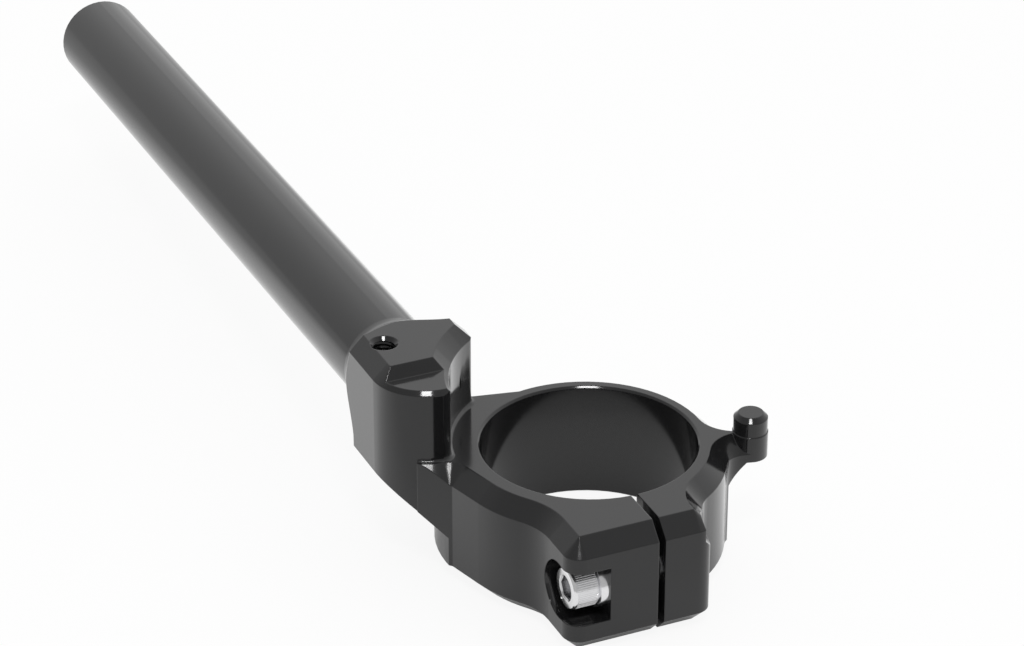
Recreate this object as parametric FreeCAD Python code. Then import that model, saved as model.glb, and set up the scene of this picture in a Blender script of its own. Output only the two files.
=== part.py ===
"""Raised clip-on handlebar for a motorcycle, right-hand bar of a mirrored pair.

One machined light-alloy piece carries the split clamp ring, the riser, the locating pin
and the grip tube. A socket head screw with a washer pinches the ring on the fork tube.
Millimetres. Z runs up the fork tube and X runs along the grip tube in plan. Shapes are
drawn from the bore centre in the clamp's top plane, and the finished parts are lifted by
half the clamp's height, so the origin is the middle of the bore.
"""
import FreeCAD, Part
import math
import os

from FreeCAD import Vector

os.makedirs("parts", exist_ok=True)


def heading(angle):
    """Unit plan vector at an angle in degrees."""
    return Vector(math.cos(math.radians(angle)), math.sin(math.radians(angle)), 0)


# clamp ring
FORK_R = 25.0
RING_WALL = 7.0
RING_R = FORK_R + RING_WALL
RING_C = Vector(-0.5, 0.6, 0)
CLAMP_H = 28.8
BORE_BREAK = 0.5
TOP_CHAMFER = 3.9
FOOT_CHAMFER = 3.5

# pinch lugs
LUG_REACH = 8.1
LUG_FACE_X = -RING_R - LUG_REACH
LUG_HEAD_Y = 23.2
LUG_TAIL_Y = -12.6
LUG_ROOT_X = -FORK_R / 3
LUG_CORNER_R = 4.0
LUG_HEAD_FILLET = 15.0
LUG_TAIL_FILLET = 9.0
SCOOP_AT = Vector(LUG_FACE_X + 1.6, LUG_TAIL_Y - 4.4, 0)
SCOOP_R = 7.0
SCOOP_Z = -7.0
SCOOP_BEVEL = 2.5
SLIT_Y0 = -0.05
SLIT_W = 1.65
SLIT_Y1 = SLIT_Y0 + SLIT_W

# riser
RISER_ANGLE = 60.663
RISER_CLEAR = 5.454
RISER_C = heading(RISER_ANGLE) * (RING_R + RISER_CLEAR)
RISER_R = 12.85
RISER_SIDE_Y = RISER_C.y + RISER_R
RISER_BACK_X = RISER_C.x + 12.9
RISER_INNER_Y = RISER_C.y - 15.45
RISER_HOLLOW_R = RING_R
RISER_CORNER_R = 2.5
RISER_TOP_Z = 20.6
RISER_CHAMFER = 3.6
RISER_FOOT_R = 1.0
LEDGE_DROP = 2.6
LEDGE_Z = RISER_TOP_Z - LEDGE_DROP
LEDGE_X = RISER_C.x - 3.75
LEDGE_TOP_X = LEDGE_X + 2.2
UNDERSIDE_Z = -7.15
BACK_UNDERSIDE_Z = -14.0

# arm that joins the ring to the riser
ARM_ANGLE = 105.0
ARM_HEADING = 15.0
ARM_INNER_X = RISER_C.x - 6.35
ARM_SIDE_INSET = 4.5
ARM_END_INSET = Vector(1.5, 8.0, 0)
ARM_BACK_AT = heading(10.994) * RING_R
ARM_BACK_HEADING = 78.0
ARM_BACK_LENGTH = 22.0
ARM_BACK_ROOT = 8.0
ARM_BACK_FILLET = 14.0
ARM_BACK_OUT = 4.6
WEB_START = heading(89.426) * (RING_R + 1.952)
WEB_HEADING = 42.7
WEB_LENGTH = 8.7
WEB_ROOT = Vector(-2.0, -0.55, 0)
FAN_TIP_R = 0.8
FAN_ROOT = 6.0
LOWER_WALL_C = Vector(3.0, 3.0, 0)
LOWER_WALL_R = RING_R - 0.35

# tapped hole for the reservoir bracket
TAP_AT = RISER_C + Vector(8.95, 6.45, RISER_TOP_Z)
TAP_MINOR_R = 2.5
TAP_MOUTH_R = 3.45
TAP_DEPTH = 12.0

# grip tube
BAR_R = 11.1
BAR_BORE_R = 8.0
BAR_START = RISER_C + Vector(-3.65, 0.166, 8.44)
BAR_TILT = 1.35
BAR_LENGTH = 237.8
BAR_END_BREAK = 0.8
BAR_ROOT = 8.0
FLARE_R = 9.0
FLARE_ROOT = 4.0
BORE_START_X = RISER_BACK_X + FLARE_R + 1.0

# locating pin and its tab
PIN_AT = heading(252.92) * (RING_R + 5.452)
PIN_R = 4.0
PIN_TOP_Z = 5.0
PIN_BREAK = 1.1
PIN_COLLAR_R = 4.16
PIN_COLLAR_Z = 0.3
TAB_FOOT_Z = -6.0
TAB_SLOPE_OUT = 4.5
TAB_SLOPE_DROP = 4.7
TAB_CUT_HALF_W = 14.5
TAB_ROOT = 4.0
TAB_FILLET = 5.0

# pinch screw
SCREW_X = LUG_FACE_X + 6.3
SCREW_Z = -CLAMP_H / 2
SEAT_Y = 13.25
WASHER_T = 2.0
WASHER_R = 5.7
HEAD_R = 5.0
HEAD_H = 6.2
HEAD_BREAK = 0.4
THREAD_R = 3.0
CLEAR_R = THREAD_R + 0.3
SCREW_LENGTH = 25.5
SCREW_TIP_BREAK = 0.5
HEX_AF = 5.0
HEX_DEPTH = 3.0
POCKET_R = 7.0
POCKET_HALF_H = 6.75
TIP_HOLE_R = 4.3
TIP_HOLE_DEPTH = 3.0

# working values: longer than the part, past a face, and how near an edge has to stand
FAR = 300.0
PAST = 1.0
NEAR = 0.6

UP = Vector(0, 0, 1)
ALONG_Y = Vector(0, 1, 0)


def polygon(points, z):
    """Plane face through plan points at height z."""
    ring = [Vector(p[0], p[1], z) for p in points]
    return Part.Face(Part.makePolygon(ring + ring[:1]))


def prism(points, z_low, z_high):
    """Upright prism over plan points."""
    return polygon(points, z_low).extrude(Vector(0, 0, z_high - z_low))


def cylinder(radius, z_low, z_high, centre=Vector(0, 0, 0)):
    """Upright cylinder about a plan point."""
    return Part.makeCylinder(radius, z_high - z_low, Vector(centre.x, centre.y, z_low))


def upright_edges(shape, plan_points):
    """Upright straight edges that stand on any of the plan points."""
    found = []
    for edge in shape.Edges:
        if len(edge.Vertexes) != 2:
            continue
        a, b = edge.Vertexes[0].Point, edge.Vertexes[1].Point
        if math.hypot(a.x - b.x, a.y - b.y) > 1e-4:
            continue
        if any(math.hypot(a.x - p[0], a.y - p[1]) < NEAR for p in plan_points):
            found.append(edge)
    return found


def edges_at(shape, z, keep):
    """Edges that lie in the plane at height z and pass the keep test on their midpoint."""
    found = []
    for edge in shape.Edges:
        box = edge.BoundBox
        if abs(box.ZMin - z) < 1e-3 and abs(box.ZMax - z) < 1e-3:
            middle = edge.valueAt((edge.FirstParameter + edge.LastParameter) / 2)
            if keep(middle):
                found.append(edge)
    return found


def ring_crossing(y):
    """x of the ring's outer circle at height y, on the lug side."""
    return RING_C.x - math.sqrt(RING_R ** 2 - (y - RING_C.y) ** 2)


def tab_frame():
    """Outward direction of the pin tab and its half width sideways."""
    away = PIN_AT - RING_C
    away.normalize()
    return away, Vector(-away.y, away.x, 0) * PIN_COLLAR_R


def arm_corners():
    """Plan corners of the arm between the ring and the riser."""
    start = RING_C + heading(ARM_ANGLE) * RING_R
    run = heading(ARM_HEADING)
    inner = start + run * ((ARM_INNER_X - start.x) / run.x)
    back = heading(ARM_BACK_HEADING)
    top = ARM_BACK_AT + back * ARM_BACK_LENGTH
    low = ARM_BACK_AT - back * ARM_BACK_ROOT
    end = Vector(RISER_BACK_X, RISER_SIDE_Y, 0) - ARM_END_INSET
    return [(0, 0), (start.x, start.y), (inner.x, inner.y), (RISER_C.x, RISER_SIDE_Y - ARM_SIDE_INSET),
            (end.x, end.y), (top.x, top.y), (low.x, low.y)]


def rounded_outline(arm, extras):
    """Ring, lugs and arm at full height with the upright corners rounded."""
    lugs = prism([(LUG_FACE_X, LUG_TAIL_Y), (LUG_ROOT_X, LUG_TAIL_Y), (LUG_ROOT_X, LUG_HEAD_Y),
                  (LUG_FACE_X, LUG_HEAD_Y)], -CLAMP_H, 0)
    blank = cylinder(RING_R, -CLAMP_H, 0, RING_C).fuse([lugs, arm] + extras).removeSplitter()
    away, side = tab_frame()
    root = RING_C + away * math.sqrt(RING_R ** 2 - PIN_COLLAR_R ** 2)
    for radius, places in (
        (LUG_HEAD_FILLET, [(ring_crossing(LUG_HEAD_Y), LUG_HEAD_Y)]),
        (LUG_TAIL_FILLET, [(ring_crossing(LUG_TAIL_Y), LUG_TAIL_Y)]),
        (LUG_CORNER_R, [(LUG_FACE_X, LUG_HEAD_Y), (LUG_FACE_X, LUG_TAIL_Y)]),
        (ARM_BACK_FILLET, [(ARM_BACK_AT.x, ARM_BACK_AT.y)]),
        (TAB_FILLET, [((root + side).x, (root + side).y), ((root - side).x, (root - side).y)]),
    ):
        corners = upright_edges(blank, places)
        if corners:
            blank = blank.makeFillet(radius, corners)
    return blank


def clamp_blank():
    """Clamp with its full arm and the pin tab, bevelled round the top."""
    away, side = tab_frame()
    inner = RING_C + away * (RING_R - TAB_ROOT)
    tab_points = [(v.x, v.y) for v in (inner + side, inner - side, PIN_AT - side, PIN_AT + side)]
    tab = [prism(tab_points, -CLAMP_H, 0), cylinder(PIN_COLLAR_R, -CLAMP_H, 0, PIN_AT)]
    blank = rounded_outline(prism(arm_corners(), -CLAMP_H, 0), tab)
    return blank.makeChamfer(TOP_CHAMFER, edges_at(blank, 0, lambda m: True))


def underside_cutter():
    """Everything under the two sloping undersides that lies outside the lower wall."""
    side = Part.Face(Part.makePolygon([
        Vector(-FAR, RISER_SIDE_Y - FAR, UNDERSIDE_Z - FAR), Vector(-FAR, RISER_SIDE_Y + FAR, UNDERSIDE_Z + FAR),
        Vector(-FAR, RISER_SIDE_Y + FAR, UNDERSIDE_Z - FAR), Vector(-FAR, RISER_SIDE_Y - FAR, UNDERSIDE_Z - FAR)]))
    edge_x = ARM_BACK_AT.x + ARM_BACK_OUT
    low = BACK_UNDERSIDE_Z - FAR
    back = Part.Face(Part.makePolygon([
        Vector(edge_x - FAR, 0, low), Vector(edge_x + FAR, 0, BACK_UNDERSIDE_Z + FAR),
        Vector(edge_x + FAR, 0, low), Vector(edge_x - FAR, 0, low)]))
    wedge = side.extrude(Vector(2 * FAR, 0, 0)).fuse(back.extrude(Vector(0, FAR, 0)))
    kept = cylinder(LOWER_WALL_R, -2 * FAR, FAR, LOWER_WALL_C).fuse(cylinder(RING_R, -2 * FAR, FAR, RING_C))
    return wedge.cut(kept)


def riser_plan(back_x):
    """Plan face of the riser, run out to the given back plane."""
    half = cylinder(RISER_R, 0, 1, RISER_C)
    box = prism([(RISER_C.x, RISER_INNER_Y), (back_x, RISER_INNER_Y), (back_x, RISER_SIDE_Y),
                 (RISER_C.x, RISER_SIDE_Y)], 0, 1)
    return half.fuse(box).cut(cylinder(RISER_HOLLOW_R, -1, 2)).removeSplitter()


def riser_solid(back_x):
    """Riser run out to a back plane, top edges bevelled, upright corners rounded, ledge cut."""
    plan = riser_plan(back_x)
    floor = [f for f in plan.Faces if abs(f.CenterOfMass.z) < 1e-6][0]
    column = floor.extrude(Vector(0, 0, RISER_TOP_Z + CLAMP_H))
    column.translate(Vector(0, 0, -CLAMP_H))
    bevelled = column.makeChamfer(RISER_CHAMFER, edges_at(
        column, RISER_TOP_Z, lambda m: m.x < back_x - NEAR / 10))
    rounded = round_hollow_corners(column)
    ledge = Part.Face(Part.makePolygon([
        Vector(-FAR, 0, LEDGE_Z), Vector(LEDGE_X, 0, LEDGE_Z), Vector(LEDGE_TOP_X, 0, RISER_TOP_Z),
        Vector(LEDGE_TOP_X, 0, RISER_TOP_Z + PAST), Vector(-FAR, 0, RISER_TOP_Z + PAST), Vector(-FAR, 0, LEDGE_Z)]))
    return bevelled.common(rounded).cut(ledge.extrude(Vector(0, FAR, 0)))


def round_hollow_corners(column):
    """Riser column with the two upright corners of its hollow wall rounded."""
    corner_x = math.sqrt(RISER_HOLLOW_R ** 2 - RISER_INNER_Y ** 2)
    reach = RISER_C.Length
    along = (reach ** 2 + RISER_HOLLOW_R ** 2 - RISER_R ** 2) / (2 * reach)
    across = math.sqrt(RISER_HOLLOW_R ** 2 - along ** 2)
    out = heading(RISER_ANGLE)
    nose = out * along + Vector(-out.y, out.x, 0) * across
    return column.makeFillet(RISER_CORNER_R, upright_edges(
        column, [(nose.x, nose.y), (corner_x, RISER_INNER_Y)]))


def riser_foot(land):
    """Small hollow fillet round the riser's foot, only where it stands on the clamp's top land."""
    floor = [f for f in riser_plan(RISER_BACK_X).Faces if abs(f.CenterOfMass.z) < 1e-6][0]
    column = floor.extrude(Vector(0, 0, 4 * RISER_FOOT_R))
    column.translate(Vector(0, 0, -RISER_FOOT_R))
    column = round_hollow_corners(column)
    slab = Part.makeBox(2 * FAR, 2 * FAR, RISER_FOOT_R, Vector(-FAR, -FAR, -RISER_FOOT_R))
    joined = slab.fuse(column).removeSplitter()
    joined = joined.makeFillet(RISER_FOOT_R, edges_at(joined, 0, lambda m: m.Length < FAR / 2))
    over_land = land.extrude(Vector(0, 0, RISER_FOOT_R))
    return joined.common(over_land)


def bar_axis():
    """Unit vector along the grip tube."""
    tilt = math.radians(BAR_TILT)
    return Vector(math.cos(tilt), 0, -math.sin(tilt))


def bar_point(x):
    """Point of the tube axis at plan coordinate x."""
    axis = bar_axis()
    return BAR_START + axis * ((x - BAR_START.x) / axis.x)


def grip_tube():
    """Outside of the grip tube from inside the riser to the open end."""
    root = bar_point(RISER_BACK_X - BAR_ROOT)
    tip = BAR_START + bar_axis() * BAR_LENGTH
    tube = Part.makeCylinder(BAR_R, root.distanceToPoint(tip), root, bar_axis())
    ends = [e for e in tube.Edges if e.Curve.TypeId == "Part::GeomCircle"
            and e.Curve.Center.distanceToPoint(tip) < 1e-3]
    return tube.makeChamfer(BAR_END_BREAK, ends)


def tube_bore():
    """Bore of the grip tube, blind short of the riser."""
    root = bar_point(BORE_START_X)
    tip = BAR_START + bar_axis() * (BAR_LENGTH + PAST)
    return Part.makeCylinder(BAR_BORE_R, root.distanceToPoint(tip), root, bar_axis())


def tube_flare():
    """Hollow fillet that runs from the tube out to the riser's back plane."""
    reach = BAR_R + FLARE_R
    bend = FLARE_R * math.sin(math.pi / 4)
    curve = Part.Arc(Vector(reach, 0, 0), Vector(reach - bend, 0, FLARE_R - bend), Vector(BAR_R, 0, FLARE_R))
    wire = Part.Wire([Part.makeLine(Vector(0, 0, 0), Vector(reach, 0, 0)), curve.toShape(),
                      Part.makeLine(Vector(BAR_R, 0, FLARE_R), Vector(0, 0, FLARE_R)),
                      Part.makeLine(Vector(0, 0, FLARE_R), Vector(0, 0, 0))])
    solid = Part.Face(wire).revolve(Vector(0, 0, 0), UP, 360)
    solid = solid.fuse(Part.makeCylinder(reach, FLARE_ROOT, Vector(0, 0, -FLARE_ROOT)))
    solid.Placement = FreeCAD.Placement(bar_point(RISER_BACK_X), FreeCAD.Rotation(UP, bar_axis()))
    return solid.common(riser_solid(RISER_BACK_X + FLARE_R + FLARE_ROOT))


def arm_web():
    """Corner web between the arm's side wall and the riser, topped by the bevel round the riser."""
    corner = WEB_START + heading(WEB_HEADING) * WEB_LENGTH
    root = WEB_START + WEB_ROOT
    plan = prism([(root.x, root.y), (WEB_START.x, WEB_START.y), (corner.x, corner.y), (RISER_C.x, RISER_C.y)],
                 -CLAMP_H, 0)
    top_r = RISER_R + RISER_FOOT_R
    cone = Part.makeCone(top_r + TOP_CHAMFER, top_r, TOP_CHAMFER, Vector(RISER_C.x, RISER_C.y, -TOP_CHAMFER))
    below = cylinder(2 * top_r, -CLAMP_H, -TOP_CHAMFER, RISER_C)
    return plan.common(cone.fuse(below))


def bevel_fan():
    """Fills the valley between the arm's bevel and the riser's, as a round bevel cutter leaves it."""
    along = heading(ARM_HEADING)
    outward = heading(ARM_HEADING + 90)
    start = RING_C + heading(ARM_ANGLE) * RING_R + outward * FAN_TIP_R
    to_riser = RISER_C - start
    reach = RISER_R + RISER_FOOT_R + TOP_CHAMFER + FAN_TIP_R
    cutter = start + along * (to_riser.dot(along) - math.sqrt(reach ** 2 - to_riser.dot(outward) ** 2))
    top_r = FAN_TIP_R + TOP_CHAMFER
    on_arm = cutter - outward * top_r
    towards = (RISER_C - cutter).normalize()
    on_riser = cutter + towards * top_r
    under_riser = on_arm + along * (RISER_C - on_arm).dot(along)
    inner = on_riser + towards * FAN_ROOT
    plan = (cutter, on_arm, under_riser, inner, on_riser)
    block = prism([(v.x, v.y) for v in plan], -TOP_CHAMFER, 0)
    return block.cut(Part.makeCone(FAN_TIP_R, top_r, TOP_CHAMFER, Vector(cutter.x, cutter.y, -TOP_CHAMFER)))


def pocket_cutter():
    """Screw head pocket, round behind and open to the front face."""
    seat = Vector(SCREW_X, SEAT_Y, SCREW_Z)
    round_part = Part.makeCylinder(POCKET_R, FAR, seat, ALONG_Y)
    slot = Part.makeBox(FAR, FAR, 2 * POCKET_HALF_H, Vector(SCREW_X - FAR, SEAT_Y, SCREW_Z - POCKET_HALF_H))
    return round_part.fuse(slot)


def screw_hole_cutters():
    """Clearance hole, tapped hole and the wider mouth at the screw tip."""
    clear = Part.makeCylinder(CLEAR_R, SEAT_Y + PAST - SLIT_Y0, Vector(SCREW_X, SLIT_Y0, SCREW_Z), ALONG_Y)
    thread = Part.makeCylinder(THREAD_R, FAR, Vector(SCREW_X, SLIT_Y0, SCREW_Z), ALONG_Y * -1)
    mouth = Part.makeCylinder(TIP_HOLE_R, FAR, Vector(SCREW_X, LUG_TAIL_Y + TIP_HOLE_DEPTH, SCREW_Z),
                              ALONG_Y * -1)
    return [clear, thread, mouth]


def scoop_cutter():
    """Round upright relief in the tail lug's outer corner with a bevelled floor."""
    low = Part.makeCone(SCOOP_R - SCOOP_BEVEL, SCOOP_R, SCOOP_BEVEL,
                        Vector(SCOOP_AT.x, SCOOP_AT.y, SCOOP_Z - SCOOP_BEVEL))
    return cylinder(SCOOP_R, SCOOP_Z, PAST, SCOOP_AT).fuse(low)


def tap_cutter():
    """Tapped hole in the riser's top with a countersunk mouth."""
    hole = Part.makeCylinder(TAP_MINOR_R, TAP_DEPTH, TAP_AT - Vector(0, 0, TAP_DEPTH))
    sink = TAP_MOUTH_R - TAP_MINOR_R
    mouth = Part.makeCone(TAP_MINOR_R, TAP_MOUTH_R, sink, TAP_AT - Vector(0, 0, sink))
    return hole.fuse(mouth)


def tab_cutter():
    """Space under the pin tab, sloping back to the ring wall."""
    away, side = tab_frame()
    side.normalize()
    origin = RING_C - side * TAB_CUT_HALF_W
    profile = [Vector(RING_R, 0, -CLAMP_H - PAST), Vector(RING_R, 0, TAB_FOOT_Z - TAB_SLOPE_DROP),
               Vector(RING_R + TAB_SLOPE_OUT, 0, TAB_FOOT_Z), Vector(RING_R + FAR, 0, TAB_FOOT_Z),
               Vector(RING_R + FAR, 0, -CLAMP_H - PAST)]
    points = [away * p.x + Vector(0, 0, p.z) + origin for p in profile]
    face = Part.Face(Part.makePolygon(points + points[:1]))
    return face.extrude(side * (2 * TAB_CUT_HALF_W)).cut(cylinder(RING_R, -CLAMP_H - 2 * PAST, PAST, RING_C))


def locating_pin():
    """Round pin on a slightly wider collar that stands in the tab."""
    pin = cylinder(PIN_R, 0, PIN_TOP_Z, PIN_AT)
    pin = pin.makeChamfer(PIN_BREAK, edges_at(pin, PIN_TOP_Z, lambda m: True))
    return pin.fuse(cylinder(PIN_COLLAR_R, TAB_FOOT_Z, PIN_COLLAR_Z, PIN_AT))


def foot_bevel_keeper():
    """Everything that the bevel round the bottom outline leaves."""
    lower = rounded_outline(cylinder(FORK_R, -CLAMP_H, 0), [])
    lower = lower.makeChamfer(FOOT_CHAMFER, edges_at(lower, -CLAMP_H, lambda m: True))
    arm = prism(arm_corners(), -CLAMP_H, 0).common(cylinder(LOWER_WALL_R, -CLAMP_H, 0, LOWER_WALL_C))
    arm = arm.makeChamfer(FOOT_CHAMFER, edges_at(
        arm, -CLAMP_H, lambda m: math.hypot(m.x, m.y) > (FORK_R + RING_R) / 2))
    above = Part.makeBox(2 * FAR, 2 * FAR, FAR, Vector(-FAR, -FAR, -CLAMP_H + FOOT_CHAMFER))
    return lower.fuse([arm, above])


def clip_on_bar():
    """The machined body."""
    clamp = clamp_blank().fuse([arm_web(), bevel_fan()]).removeSplitter()
    land = [f for f in clamp.Faces if abs(f.CenterOfMass.z) < 1e-6]
    body = clamp.fuse([riser_solid(RISER_BACK_X), tube_flare()]).removeSplitter()
    body = body.fuse(riser_foot(land[0])).removeSplitter()
    body = body.cut(underside_cutter()).common(foot_bevel_keeper())
    body = body.cut(tab_cutter()).fuse([locating_pin(), grip_tube()])
    bore = cylinder(FORK_R, -CLAMP_H - PAST, PAST)
    body = body.cut([bore, tube_bore(), pocket_cutter(), tap_cutter(), scoop_cutter()] + screw_hole_cutters())
    slit = Part.makeBox(FAR, SLIT_W, CLAMP_H + 2 * PAST, Vector(-FAR, SLIT_Y0, -CLAMP_H - PAST))
    body = body.cut(slit).removeSplitter()
    rims = [e for e in body.Edges if e.Curve.TypeId == "Part::GeomCircle"
            and abs(e.Curve.Radius - FORK_R) < 1e-4 and abs(e.Curve.Axis.z) > 0.99
            and (abs(e.BoundBox.ZMin) < 1e-4 or abs(e.BoundBox.ZMin + CLAMP_H) < 1e-4)]
    return body.makeChamfer(BORE_BREAK, rims)


def washer():
    """Flat washer under the screw head."""
    seat = Vector(SCREW_X, SEAT_Y, SCREW_Z)
    disc = Part.makeCylinder(WASHER_R, WASHER_T, seat, ALONG_Y)
    return disc.cut(Part.makeCylinder(CLEAR_R, WASHER_T, seat, ALONG_Y))


def pinch_screw():
    """Socket head cap screw, head outward on the left lug."""
    under_head = Vector(SCREW_X, SEAT_Y + WASHER_T, SCREW_Z)
    head = Part.makeCylinder(HEAD_R, HEAD_H, under_head, ALONG_Y)
    top = [e for e in head.Edges if abs(e.BoundBox.YMin - under_head.y - HEAD_H) < 1e-4]
    head = head.makeChamfer(HEAD_BREAK, [e for e in top if e.Curve.TypeId == "Part::GeomCircle"])
    shank = Part.makeCylinder(THREAD_R, SCREW_LENGTH, under_head, ALONG_Y * -1)
    tip = [e for e in shank.Edges if e.Curve.TypeId == "Part::GeomCircle"
           and abs(e.Curve.Center.y - under_head.y + SCREW_LENGTH) < 1e-4]
    shank = shank.makeChamfer(SCREW_TIP_BREAK, tip)
    corner_r = HEX_AF / math.sqrt(3)
    hexagon = [Vector(SCREW_X + corner_r * math.cos(math.radians(60 * i + 30)), under_head.y + HEAD_H,
                      SCREW_Z + corner_r * math.sin(math.radians(60 * i + 30))) for i in range(6)]
    socket = Part.Face(Part.makePolygon(hexagon + hexagon[:1])).extrude(Vector(0, -HEX_DEPTH, 0))
    return head.fuse(shank).cut(socket).removeSplitter()


for name, shape in (("clip_on_bar", clip_on_bar()), ("washer", washer()), ("pinch_screw", pinch_screw())):
    solid = shape.Solids[0]
    solid.translate(Vector(0, 0, CLAMP_H / 2))
    solid.exportStep("parts/" + name + ".step")
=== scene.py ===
import math

import bpy
from mathutils import Matrix, Vector


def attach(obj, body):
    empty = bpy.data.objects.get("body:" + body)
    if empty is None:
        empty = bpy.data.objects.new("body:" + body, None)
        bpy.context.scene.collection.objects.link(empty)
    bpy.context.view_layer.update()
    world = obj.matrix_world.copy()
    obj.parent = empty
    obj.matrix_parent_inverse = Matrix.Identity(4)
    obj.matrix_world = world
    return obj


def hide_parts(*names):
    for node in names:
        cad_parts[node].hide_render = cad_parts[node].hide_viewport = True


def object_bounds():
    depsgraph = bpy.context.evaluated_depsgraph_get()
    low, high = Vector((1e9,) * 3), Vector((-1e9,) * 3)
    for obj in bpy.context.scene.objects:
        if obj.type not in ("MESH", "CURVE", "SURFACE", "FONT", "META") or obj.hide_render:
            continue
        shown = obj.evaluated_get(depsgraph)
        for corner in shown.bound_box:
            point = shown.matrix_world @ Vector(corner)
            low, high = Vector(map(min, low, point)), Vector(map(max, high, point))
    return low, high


# Looks of a raised clip-on handlebar: gloss black anodised bar, bright zinc plated screw.

MM = 0.001
TURN = 2 * math.pi

# camera of the photograph
CAMERA_PLACE = Vector((-644.6, 308.3, 437.85)) * MM
CAMERA_PITCH = 61.2
CAMERA_YAW = 245.85
CAMERA_ROLL = 0.0526
CAMERA_LENS = 127.575
CAMERA_NEAR = 0.01
CAMERA_FAR = 50.0
SENSOR = 36.0

# pinch screw's head, in millimetres from its underside, with the screw's own axis along +Z
SCREW_PLACE = Vector((-33.8, 15.25, 0.0)) * MM
HEAD_R = 5.0
HEAD_H = 6.2
RIM_BREAK = 0.45
RIM_FLAT_END = 0.1
RIM_BEND = 0.08
CORNER_DROP = 0.04
CORNER_STEP = 0.05
UNDERSIDE_BREAK = 0.45
UNDERSIDE_RISE = 0.32
UNDERSIDE_INSET = 0.03

# hexagon socket in the head
SOCKET_FLAT = 2.5
SOCKET_FLOOR_SHARE = 0.96
SOCKET_MOUTH_R = 3.05
SOCKET_MOUTH_BREAK = 0.06
SOCKET_LEAD = 0.32
SOCKET_DEPTH = 3.0
SOCKET_CONE = 0.8
SOCKET_MASK_GAP = (0.06, 0.1)

# knurl round the head: a ridge's width as a share of its pitch, its shoulder and crest as shares of that
KNURL_DEPTH = 0.22
KNURL_COUNT = 66
KNURL_LOW = 0.45
KNURL_HIGH = 5.3
RIDGE_WIDTH = 0.95
RIDGE_SHOULDER = 0.5
RIDGE_CREST = 0.28
RIDGE_SUNK = 0.05
RIDGE_SLOPE = 0.12

# shank and its thread
THREAD_R = 2.98
THREAD_PITCH = 1.0
THREAD_DEPTH = 0.55
THREAD_FLANK = 2.3
SHANK_ROOT = 0.15
SHANK_PLAIN = 2.0
SHANK_TIP = 0.6
SHANK_LENGTH = 25.5
CLOSED_R = 0.02
RING_STEPS = 96
STEPS_PER_PITCH = 8
SHARP_ANGLE = 32.0

# tapped hole in the riser's top
TAP_AXIS = Vector((27.3, 39.1, 0.0)) * MM
TAP_R = 2.6
TAP_PITCH = 1.0
TAP_DEPTH = 0.5
TAP_FLOOR_Z = 23.0

# metal grain: the middle part of a noise that is used, and how high its grains stand
NOISE_RANGE = (0.3, 0.7)
GRAIN_DETAIL = 3.0
CLOUD_DETAIL = 4.0
GRAIN_HEIGHT = 0.02

# gloss black anodising
BLACK_TONES = ((0.008, 0.008, 0.0084, 1), (0.012, 0.012, 0.0125, 1))
BLACK_ROUGHNESS = (0.09, 0.13)
BLACK_IOR = 1.57
BLACK_GRAIN = 3000.0
BLACK_CLOUD = 45.0
BLACK_GRAIN_BUMP = 0.03
EDGE_BREAK = 0.35
EDGE_SAMPLES = 12

# bright zinc plating, with painted shade in the screw's socket: a darker tone stands for the shade inside
# it
ZINC_TONES = ((0.90, 0.90, 0.91, 1), (0.97, 0.97, 0.98, 1))
ZINC_PAINTED_SOCKET_SHADE = (0.62, 0.62, 0.63, 1)
ZINC_ROUGHNESS = (0.14, 0.24)
ZINC_GRAIN = 1800.0
ZINC_CLOUD = 300.0
ZINC_GRAIN_BUMP = 0.15

# studio room: strengths where 1 is white, directions as azimuth and elevation in degrees
WALL_AT = (320.0, 20.0)
WALL_SPREAD = (0.0, 0.85)
WALL_LIGHT = 1.0
CEILING_LIGHT = 0.42
FILL_SHARE = 1.35
LAMP_AT = (157.0, 62.5)
LAMP_FAR = 1.4
LAMP_SIZE = (0.34, 0.14)
LAMP_POWER = 3.6

# paper under the part: painted light, its glow in reflections grows over PAPER_SHADE towards an azimuth and
# falls over PAPER_FAR from the middle, in millimetres, and painted shade cuts that glow close to the part
PAPER_SPAN = 6.0
PAPER_TONE = (0.9, 0.9, 0.9, 1)
PAPER_ROUGHNESS = 0.9
PAPER_GLOW = 0.9
PAPER_AWAY = 334.0
PAPER_SHADE = (-50.0, 20.0)
PAPER_MIRRORED = (0.79, 1.25)
PAPER_FAR = (190.0, 345.0)
PAPER_FAR_MIRRORED = 0.75
PAPER_SHADE_REACH = 60.0
PAPER_SHADE_SAMPLES = 6

# upright black card in front of the riser's nose, facing it: its x, and its reach along y and up z
CARD_X = -12.0
CARD_Y = (28.5, 38.4)
CARD_Z = (2.0, 22.5)
CARD_TONE = (0.003, 0.003, 0.003, 1)


def node(tree, kind, links=None, **values):
    """New node with its properties set and its inputs linked or filled."""
    made = tree.nodes.new(kind)
    for key, value in values.items():
        setattr(made, key, value)
    for socket, source in (links or {}).items():
        if isinstance(source, bpy.types.NodeSocket):
            tree.links.new(source, made.inputs[socket])
        else:
            made.inputs[socket].default_value = source
    return made


def maths(tree, operation, *values):
    """Result of a Math node."""
    return node(tree, "ShaderNodeMath", dict(enumerate(values)), operation=operation).outputs[0]


def vector_maths(tree, operation, *values):
    """Result of a Vector Math node, a number where the operation gives one."""
    made = node(tree, "ShaderNodeVectorMath", dict(enumerate(values)), operation=operation)
    return made.outputs["Value" if operation in ("LENGTH", "DOT_PRODUCT") else "Vector"]


def spread(tree, value, before, after):
    """Value from the range before, spread over the range after and held at its ends."""
    return node(tree, "ShaderNodeMapRange", {
        "Value": value, "From Min": before[0], "From Max": before[1],
        "To Min": after[0], "To Max": after[1]}).outputs["Result"]


def between(tree, factor, first, second):
    """Colour between two others."""
    return node(tree, "ShaderNodeMix", {"Factor": factor, "A": first, "B": second},
                data_type="RGBA").outputs["Result"]


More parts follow.
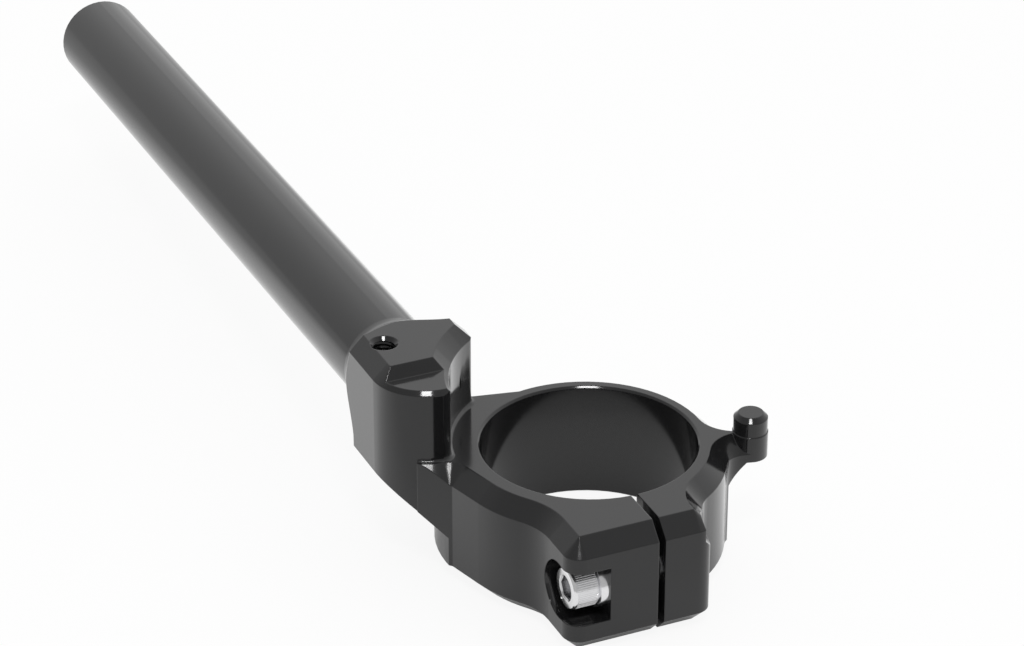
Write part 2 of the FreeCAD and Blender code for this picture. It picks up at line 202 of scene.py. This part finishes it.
def around_axis(tree, place, origin, along):
    """Distance from the axis through origin, height along it, and the other two coordinates."""
    parts = node(tree, "ShaderNodeSeparateXYZ", {"Vector": vector_maths(tree, "SUBTRACT", place, origin)})
    across = [parts.outputs[name] for name in "XYZ" if name != along]
    flat = node(tree, "ShaderNodeCombineXYZ", {"X": across[0], "Y": across[1]}).outputs[0]
    return vector_maths(tree, "LENGTH", flat), parts.outputs[along], across


def hole_mask(tree, radius, height, reach, bottom):
    """1 nearer the axis than reach and higher than bottom, in millimetres, and 0 elsewhere."""
    inside = maths(tree, "LESS_THAN", radius, reach * MM)
    above = maths(tree, "GREATER_THAN", height, bottom * MM)
    return maths(tree, "MULTIPLY", inside, above)


def new_group(name, inputs, outputs):
    """Empty shader node group with named sockets."""
    tree = bpy.data.node_groups.new(name, "ShaderNodeTree")
    for label, kind, value in inputs:
        socket = tree.interface.new_socket(label, in_out="INPUT", socket_type=kind)
        if value is not None:
            socket.default_value = value
    for label, kind in outputs:
        tree.interface.new_socket(label, in_out="OUTPUT", socket_type=kind)
    return tree, tree.nodes.new("NodeGroupInput"), tree.nodes.new("NodeGroupOutput")


def grain_group():
    """Fine blasted grain and slow cloudiness, both from 0 to 1."""
    tree, given, result = new_group(
        "metal_grain",
        [("Place", "NodeSocketVector", None),
         ("Grain Scale", "NodeSocketFloat", BLACK_GRAIN),
         ("Cloud Scale", "NodeSocketFloat", BLACK_CLOUD)],
        [("Grain", "NodeSocketFloat"), ("Cloud", "NodeSocketFloat")])
    grain = node(tree, "ShaderNodeTexNoise", {
        "Vector": given.outputs["Place"], "Scale": given.outputs["Grain Scale"], "Detail": GRAIN_DETAIL})
    cloud = node(tree, "ShaderNodeTexNoise", {
        "Vector": given.outputs["Place"], "Scale": given.outputs["Cloud Scale"], "Detail": CLOUD_DETAIL})
    tree.links.new(grain.outputs["Fac"], result.inputs["Grain"])
    tree.links.new(cloud.outputs["Fac"], result.inputs["Cloud"])
    return tree


def placed_grain(tree, group, place, grain_scale, cloud_scale):
    """The shared grain group put into a material."""
    made = tree.nodes.new("ShaderNodeGroup")
    made.node_tree = group
    tree.links.new(place, made.inputs["Place"])
    made.inputs["Grain Scale"].default_value = grain_scale
    made.inputs["Cloud Scale"].default_value = cloud_scale
    return made.outputs["Grain"], made.outputs["Cloud"]


def blank_material(name):
    """Material with a Principled shader and the piece's own Object coordinates."""
    material = bpy.data.materials.new(name)
    material.use_nodes = True
    tree = material.node_tree
    shader = tree.nodes["Principled BSDF"]
    place = tree.nodes.new("ShaderNodeTexCoord").outputs["Object"]
    return material, tree, shader, place


def black_anodised(group):
    """Gloss black anodised aluminium, with broken edges and the thread in the tapped hole."""
    material, tree, shader, place = blank_material("black_anodised_aluminium")
    grain, cloud = placed_grain(tree, group, place, BLACK_GRAIN, BLACK_CLOUD)
    tree.links.new(between(tree, cloud, *BLACK_TONES), shader.inputs["Base Color"])
    tree.links.new(spread(tree, cloud, NOISE_RANGE, BLACK_ROUGHNESS), shader.inputs["Roughness"])
    shader.inputs["IOR"].default_value = BLACK_IOR
    edge = node(tree, "ShaderNodeBevel", {"Radius": EDGE_BREAK * MM}, samples=EDGE_SAMPLES)
    skin = node(tree, "ShaderNodeBump", {
        "Strength": BLACK_GRAIN_BUMP, "Distance": GRAIN_HEIGHT * MM, "Height": grain,
        "Normal": edge.outputs["Normal"]})
    thread = node(tree, "ShaderNodeBump", {
        "Strength": 1.0, "Distance": TAP_DEPTH * MM, "Height": thread_height(tree, place),
        "Normal": skin.outputs["Normal"]})
    tree.links.new(thread.outputs["Normal"], shader.inputs["Normal"])
    return material


def thread_height(tree, place):
    """Ridges of a screw thread on the wall of the tapped hole, 0 elsewhere."""
    radius, height, (x, y) = around_axis(tree, place, TAP_AXIS, "Z")
    turns = maths(tree, "MULTIPLY", maths(tree, "ARCTAN2", y, x), 1 / TURN)
    climb = maths(tree, "MULTIPLY", height, 1 / (TAP_PITCH * MM))
    ridge = maths(tree, "PINGPONG", maths(tree, "SUBTRACT", climb, turns), 0.5)
    return maths(tree, "MULTIPLY", ridge, hole_mask(tree, radius, height, TAP_R, TAP_FLOOR_Z))


def zinc_steel(group):
    """Bright zinc plated steel with a faint tooled grain and painted shade in the hexagon socket."""
    material, tree, shader, place = blank_material("bright_zinc_steel")
    grain, cloud = placed_grain(tree, group, place, ZINC_GRAIN, ZINC_CLOUD)
    plated = between(tree, cloud, *ZINC_TONES)
    # painted shade: the socket gets a darker tone for the little light that reaches inside it
    tone = between(tree, painted_socket_shade_mask(tree, place), plated, ZINC_PAINTED_SOCKET_SHADE)
    tree.links.new(tone, shader.inputs["Base Color"])
    tree.links.new(spread(tree, cloud, NOISE_RANGE, ZINC_ROUGHNESS), shader.inputs["Roughness"])
    shader.inputs["Metallic"].default_value = 1.0
    skin = node(tree, "ShaderNodeBump", {
        "Strength": ZINC_GRAIN_BUMP, "Distance": GRAIN_HEIGHT * MM, "Height": grain})
    tree.links.new(skin.outputs["Normal"], shader.inputs["Normal"])
    return material


def painted_socket_shade_mask(tree, place):
    """1 inside the screw's hexagon socket, where a darker tone is painted as shade, 0 elsewhere."""
    radius, height, _ = around_axis(tree, place, SCREW_PLACE, "Y")
    reach = SOCKET_MOUTH_R - SOCKET_MASK_GAP[0]
    bottom = HEAD_H - SOCKET_DEPTH - SOCKET_CONE - SOCKET_MASK_GAP[1]
    return hole_mask(tree, radius, height, reach, bottom)


def pale_floor():
    """White paper that keeps a soft shadow; in reflections its glow carries painted light and painted
    shade.
    """
    material, tree, shader, place = blank_material("studio_paper")
    shader.inputs["Base Color"].default_value = PAPER_TONE
    shader.inputs["Roughness"].default_value = PAPER_ROUGHNESS
    shader.inputs["Specular IOR Level"].default_value = 0.0
    # painted light: the paper's glow in reflections is brighter towards PAPER_AWAY and weaker far off
    away = vector_maths(tree, "DOT_PRODUCT", place, towards(PAPER_AWAY, 0.0))
    nearby = spread(tree, away, [d * MM for d in PAPER_SHADE], PAPER_MIRRORED)
    far_off = spread(tree, vector_maths(tree, "LENGTH", place), [d * MM for d in PAPER_FAR],
                     (PAPER_MIRRORED[1], PAPER_FAR_MIRRORED))
    seen = node(tree, "ShaderNodeLightPath")
    strength = node(tree, "ShaderNodeMix", {
        "Factor": seen.outputs["Is Glossy Ray"], "A": 1.0, "B": maths(tree, "MINIMUM", nearby, far_off)})
    glow = node(tree, "ShaderNodeEmission", {"Color": (1, 1, 1, 1), "Strength": strength.outputs["Result"]})
    # painted shade: ambient occlusion cuts the paper's glow in reflections close to the part
    open_share = node(tree, "ShaderNodeAmbientOcclusion", {"Distance": PAPER_SHADE_REACH * MM},
                      samples=PAPER_SHADE_SAMPLES)
    straight = maths(tree, "MULTIPLY", seen.outputs["Is Camera Ray"], PAPER_GLOW)
    by_mirror = maths(tree, "MULTIPLY", seen.outputs["Is Glossy Ray"], open_share.outputs["AO"])
    share = maths(tree, "MAXIMUM", straight, by_mirror)
    mix = node(tree, "ShaderNodeMixShader", {
        0: share, 1: shader.outputs["BSDF"], 2: glow.outputs["Emission"]})
    tree.links.new(mix.outputs[0], tree.nodes["Material Output"].inputs["Surface"])
    return material


def one_sided_black():
    """Dull black on the front of a sheet and clear from behind."""
    material, tree, shader, _ = blank_material("one_sided_black")
    shader.inputs["Base Color"].default_value = CARD_TONE
    shader.inputs["Roughness"].default_value = 1.0
    shader.inputs["Specular IOR Level"].default_value = 0.0
    behind = tree.nodes.new("ShaderNodeNewGeometry").outputs["Backfacing"]
    clear = tree.nodes.new("ShaderNodeBsdfTransparent").outputs["BSDF"]
    mix = node(tree, "ShaderNodeMixShader", {0: behind, 1: shader.outputs["BSDF"], 2: clear})
    tree.links.new(mix.outputs[0], tree.nodes["Material Output"].inputs["Surface"])
    return material


def new_piece(name, points, faces, material=None):
    """Mesh in millimetres as an object at the origin."""
    mesh = bpy.data.meshes.new(name)
    mesh.from_pydata([tuple(c * MM for c in p) for p in points], [], faces)
    if material:
        mesh.materials.append(material)
    return placed_piece(name, mesh)


def placed_piece(name, mesh):
    """Object of a mesh, put into the scene."""
    piece = bpy.data.objects.new(name, mesh)
    bpy.context.scene.collection.objects.link(piece)
    return piece


def hexagon_radius(angle):
    """Distance from the axis to a hexagon's flat side at an angle."""
    sixth = math.pi / 3
    return SOCKET_FLAT / math.cos((angle % sixth) - sixth / 2)


def thread_radius(angle, z):
    """Radius of a V thread that climbs one pitch a turn."""
    phase = (z / THREAD_PITCH - angle / TURN) % 1.0
    ridge = min(1.0, abs(phase - 0.5) * THREAD_FLANK)
    return THREAD_R - THREAD_DEPTH * ridge


def round_ring(radius, z):
    """A round ring: its radius at an angle, and its height."""
    return (lambda angle: radius), z


def thread_ring(z):
    """A ring of the thread: its radius at an angle, and its height."""
    return (lambda angle: thread_radius(angle, z)), z


def screw_rings():
    """Rings of the screw from the socket's floor out over the head and down the thread."""
    top = HEAD_H
    socket_floor = top - SOCKET_DEPTH
    valley = HEAD_R - KNURL_DEPTH
    rings = [
        round_ring(CLOSED_R, socket_floor - SOCKET_CONE),
        round_ring(SOCKET_FLAT * SOCKET_FLOOR_SHARE, socket_floor),
        (hexagon_radius, socket_floor),
        (hexagon_radius, socket_floor + CORNER_STEP),
        (hexagon_radius, top - SOCKET_LEAD)]
    outline = [
        (SOCKET_MOUTH_R, top - CORNER_DROP),
        (SOCKET_MOUTH_R + SOCKET_MOUTH_BREAK, top),
        (HEAD_R - RIM_BREAK - RIM_FLAT_END, top),
        (HEAD_R - RIM_BREAK + RIM_BEND, top - CORNER_DROP),
        (HEAD_R - RIM_BEND, top - RIM_BREAK + CORNER_STEP),
        (HEAD_R, top - RIM_BREAK - RIM_FLAT_END),
        (HEAD_R, KNURL_HIGH + RIM_FLAT_END),
        (valley, KNURL_HIGH - CORNER_STEP),
        (valley, KNURL_LOW + CORNER_STEP),
        (HEAD_R - UNDERSIDE_INSET, KNURL_LOW - CORNER_STEP),
        (HEAD_R - UNDERSIDE_INSET, UNDERSIDE_RISE),
        (HEAD_R - UNDERSIDE_BREAK, 0.0),
        (THREAD_R + SHANK_ROOT, 0.0),
        (THREAD_R, -SHANK_ROOT),
        (THREAD_R, -SHANK_PLAIN)]
    rings += [round_ring(radius, z) for radius, z in outline]
    threaded = SHANK_LENGTH - SHANK_PLAIN - SHANK_TIP
    for i in range(1, int(threaded / THREAD_PITCH * STEPS_PER_PITCH) + 1):
        rings.append(thread_ring(-SHANK_PLAIN - i * THREAD_PITCH / STEPS_PER_PITCH))
    rings.append(round_ring(THREAD_R - THREAD_DEPTH, -SHANK_LENGTH + CLOSED_R))
    rings.append(round_ring(CLOSED_R, -SHANK_LENGTH + CLOSED_R))
    return rings


def pinch_screw_body(material):
    """Socket head screw with its hexagon socket and V thread, built ring by ring."""
    points = []
    faces = []
    rings = screw_rings()
    for radius, z in rings:
        for i in range(RING_STEPS):
            angle = TURN * i / RING_STEPS
            r = radius(angle)
            points.append((r * math.cos(angle), r * math.sin(angle), z))
    last = (len(rings) - 1) * RING_STEPS
    for a in range(0, last, RING_STEPS):
        b = a + RING_STEPS
        for i in range(RING_STEPS):
            j = (i + 1) % RING_STEPS
            faces.append((b + i, b + j, a + j, a + i))
    faces.append(tuple(range(RING_STEPS)))
    faces.append(tuple(range(last, last + RING_STEPS))[::-1])
    piece = new_piece("pinch_screw_body", points, faces, material)
    for polygon in piece.data.polygons:
        polygon.use_smooth = True
    piece.data.set_sharp_from_angle(angle=math.radians(SHARP_ANGLE))
    return piece


def knurl_ridge():
    """One straight knurl ridge that stands on the head's wall, pointing along +X."""
    half = math.pi * HEAD_R / KNURL_COUNT * RIDGE_WIDTH
    root = HEAD_R - KNURL_DEPTH - RIDGE_SUNK
    shoulder = HEAD_R - CORNER_DROP
    side = [(root, half), (shoulder, half * RIDGE_SHOULDER), (HEAD_R, half * RIDGE_CREST)]
    section = [(x, -y) for x, y in side] + side[::-1]
    points = [(x, y, KNURL_LOW + RIDGE_SLOPE * (x > root)) for x, y in section]
    points += [(x, y, KNURL_HIGH - RIDGE_SLOPE * (x > root)) for x, y in section]
    count = len(section)
    faces = [(i, i + 1, i + 1 + count, i + count) for i in range(count - 1)]
    faces += [
        tuple(range(count))[::-1],
        tuple(range(count, 2 * count)),
        (0, count, 2 * count - 1, count - 1)]
    return new_piece("knurl_ridge", points, faces)


def knurl_tree(ridge, material):
    """Geometry Nodes tree that sets ridges round the screw's axis."""
    tree = bpy.data.node_groups.new("knurl_round_head", "GeometryNodeTree")
    tree.interface.new_socket("Geometry", in_out="INPUT", socket_type="NodeSocketGeometry")
    count = tree.interface.new_socket("Ridges", in_out="INPUT", socket_type="NodeSocketInt")
    tree.interface.new_socket("Geometry", in_out="OUTPUT", socket_type="NodeSocketGeometry")
    given = tree.nodes.new("NodeGroupInput")
    result = tree.nodes.new("NodeGroupOutput")
    spots = node(tree, "GeometryNodeMeshLine", {"Count": given.outputs["Ridges"], "Offset": (0, 0, 0)})
    index = node(tree, "GeometryNodeInputIndex").outputs[0]
    angle = maths(tree, "MULTIPLY", index, maths(tree, "DIVIDE", TURN, given.outputs["Ridges"]))
    turn = node(tree, "ShaderNodeCombineXYZ", {"Z": angle})
    ridge_info = node(tree, "GeometryNodeObjectInfo", {"Object": ridge})
    set_round = node(tree, "GeometryNodeInstanceOnPoints", {
        "Points": spots.outputs["Mesh"], "Instance": ridge_info.outputs["Geometry"],
        "Rotation": turn.outputs[0]})
    real = node(tree, "GeometryNodeRealizeInstances", {"Geometry": set_round.outputs["Instances"]})
    dressed = node(tree, "GeometryNodeSetMaterial", {"Geometry": real.outputs[0], "Material": material})
    tree.links.new(dressed.outputs[0], result.inputs["Geometry"])
    return tree, count.identifier


def pinch_screw_knurl(material):
    """Knurl ridges as one plain mesh."""
    ridge = knurl_ridge()
    tree, ridges = knurl_tree(ridge, material)
    carrier = placed_piece("knurl_carrier", bpy.data.meshes.new("knurl_carrier"))
    modifier = carrier.modifiers.new("knurl", "NODES")
    modifier.node_group = tree
    modifier[ridges] = KNURL_COUNT
    made = carrier.evaluated_get(bpy.context.evaluated_depsgraph_get())
    mesh = bpy.data.meshes.new_from_object(made)
    mesh.name = "pinch_screw_knurl"
    bpy.data.objects.remove(carrier)
    bpy.data.objects.remove(ridge)
    return placed_piece("pinch_screw_knurl", mesh)


def pinch_screw(material):
    """The screw's pieces, laid along the clamp's screw axis with the head outward."""
    along = Matrix.Translation(SCREW_PLACE) @ Matrix.Rotation(math.radians(-90), 4, "X")
    for piece in (pinch_screw_body(material), pinch_screw_knurl(material)):
        piece.data.transform(along)
        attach(piece, "root")
        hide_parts("pinch_screw")


def floor(z, material):
    """Wide paper under the clamp, all in metres."""
    mesh = bpy.data.meshes.new("studio_floor")
    corners = [(-PAPER_SPAN, -PAPER_SPAN), (PAPER_SPAN, -PAPER_SPAN), (PAPER_SPAN, PAPER_SPAN),
               (-PAPER_SPAN, PAPER_SPAN)]
    mesh.from_pydata([(x, y, z) for x, y in corners], [], [(0, 1, 2, 3)])
    mesh.materials.append(material)
    placed_piece("studio_floor", mesh)


def black_card():
    """Upright black card that only reflections see, for the dark band down the riser's nose."""
    corners = [(CARD_Y[0], CARD_Z[0]), (CARD_Y[1], CARD_Z[0]), (CARD_Y[1], CARD_Z[1]),
               (CARD_Y[0], CARD_Z[1])]
    card = new_piece("black_card", [(CARD_X, y, z) for y, z in corners], [(0, 1, 2, 3)], one_sided_black())
    card.visible_camera = False
    card.visible_diffuse = False
    card.visible_shadow = False


def towards(azimuth, elevation):
    """Unit vector at an azimuth and an elevation in degrees."""
    turned = math.radians(azimuth)
    raised = math.radians(elevation)
    level = math.cos(raised)
    return Vector((level * math.cos(turned), level * math.sin(turned), math.sin(raised)))


def soft_lamp():
    """Softbox aimed at the part."""
    lamp = bpy.data.lights.new("softbox", "AREA")
    lamp.shape = "RECTANGLE"
    lamp.size, lamp.size_y = LAMP_SIZE
    lamp.energy = LAMP_POWER
    holder = bpy.data.objects.new("softbox", lamp)
    holder.location = towards(*LAMP_AT) * LAMP_FAR
    holder.rotation_mode = "QUATERNION"
    holder.rotation_quaternion = (-holder.location).to_track_quat("-Z", "Y")
    bpy.context.scene.collection.objects.link(holder)


def studio_world():
    """White behind the part; for its light and reflections one bright wall and a dim ceiling."""
    world = bpy.data.worlds.new("studio")
    bpy.context.scene.world = world
    world.use_nodes = True
    tree = world.node_tree
    back = tree.nodes["Background"]
    back.inputs["Color"].default_value = (1, 1, 1, 1)
    outward = tree.nodes.new("ShaderNodeTexCoord").outputs["Generated"]
    near_wall = vector_maths(tree, "DOT_PRODUCT", outward, towards(*WALL_AT))
    shade = spread(tree, near_wall, WALL_SPREAD, (CEILING_LIGHT, WALL_LIGHT))
    seen = node(tree, "ShaderNodeLightPath")
    fill = spread(tree, seen.outputs["Is Glossy Ray"], (0.0, 1.0), (FILL_SHARE, 1.0))
    lit = maths(tree, "MULTIPLY", shade, fill)
    strength = maths(tree, "MAXIMUM", lit, seen.outputs["Is Camera Ray"])
    tree.links.new(strength, back.inputs["Strength"])


def camera():
    """Camera of the photograph."""
    data = bpy.data.cameras.new("photo_camera")
    data.lens = CAMERA_LENS
    data.sensor_width = SENSOR
    data.clip_start = CAMERA_NEAR
    data.clip_end = CAMERA_FAR
    eye = bpy.data.objects.new("photo_camera", data)
    eye.matrix_world = (Matrix.Translation(CAMERA_PLACE)
                        @ Matrix.Rotation(math.radians(CAMERA_YAW), 4, "Z")
                        @ Matrix.Rotation(math.radians(CAMERA_PITCH), 4, "X")
                        @ Matrix.Rotation(math.radians(CAMERA_ROLL), 4, "Z"))
    bpy.context.scene.collection.objects.link(eye)
    bpy.context.scene.camera = eye


def dress(name, material):
    """Gives a CAD node its finish."""
    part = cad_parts[name]
    part.data.materials.clear()
    part.data.materials.append(material)


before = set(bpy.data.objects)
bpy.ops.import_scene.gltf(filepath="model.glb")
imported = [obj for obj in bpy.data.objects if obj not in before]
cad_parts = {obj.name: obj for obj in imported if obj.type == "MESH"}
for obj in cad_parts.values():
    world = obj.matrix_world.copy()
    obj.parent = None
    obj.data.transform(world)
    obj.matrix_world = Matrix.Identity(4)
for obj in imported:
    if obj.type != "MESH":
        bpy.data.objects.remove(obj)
cad_low, cad_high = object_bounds()

grain = grain_group()
steel = zinc_steel(grain)
dress("clip_on_bar", black_anodised(grain))
dress("washer", steel)
pinch_screw(steel)

camera()
floor(cad_low.z, pale_floor())
studio_world()
soft_lamp()
black_card()
bpy.context.scene.view_settings.view_transform = "Standard"
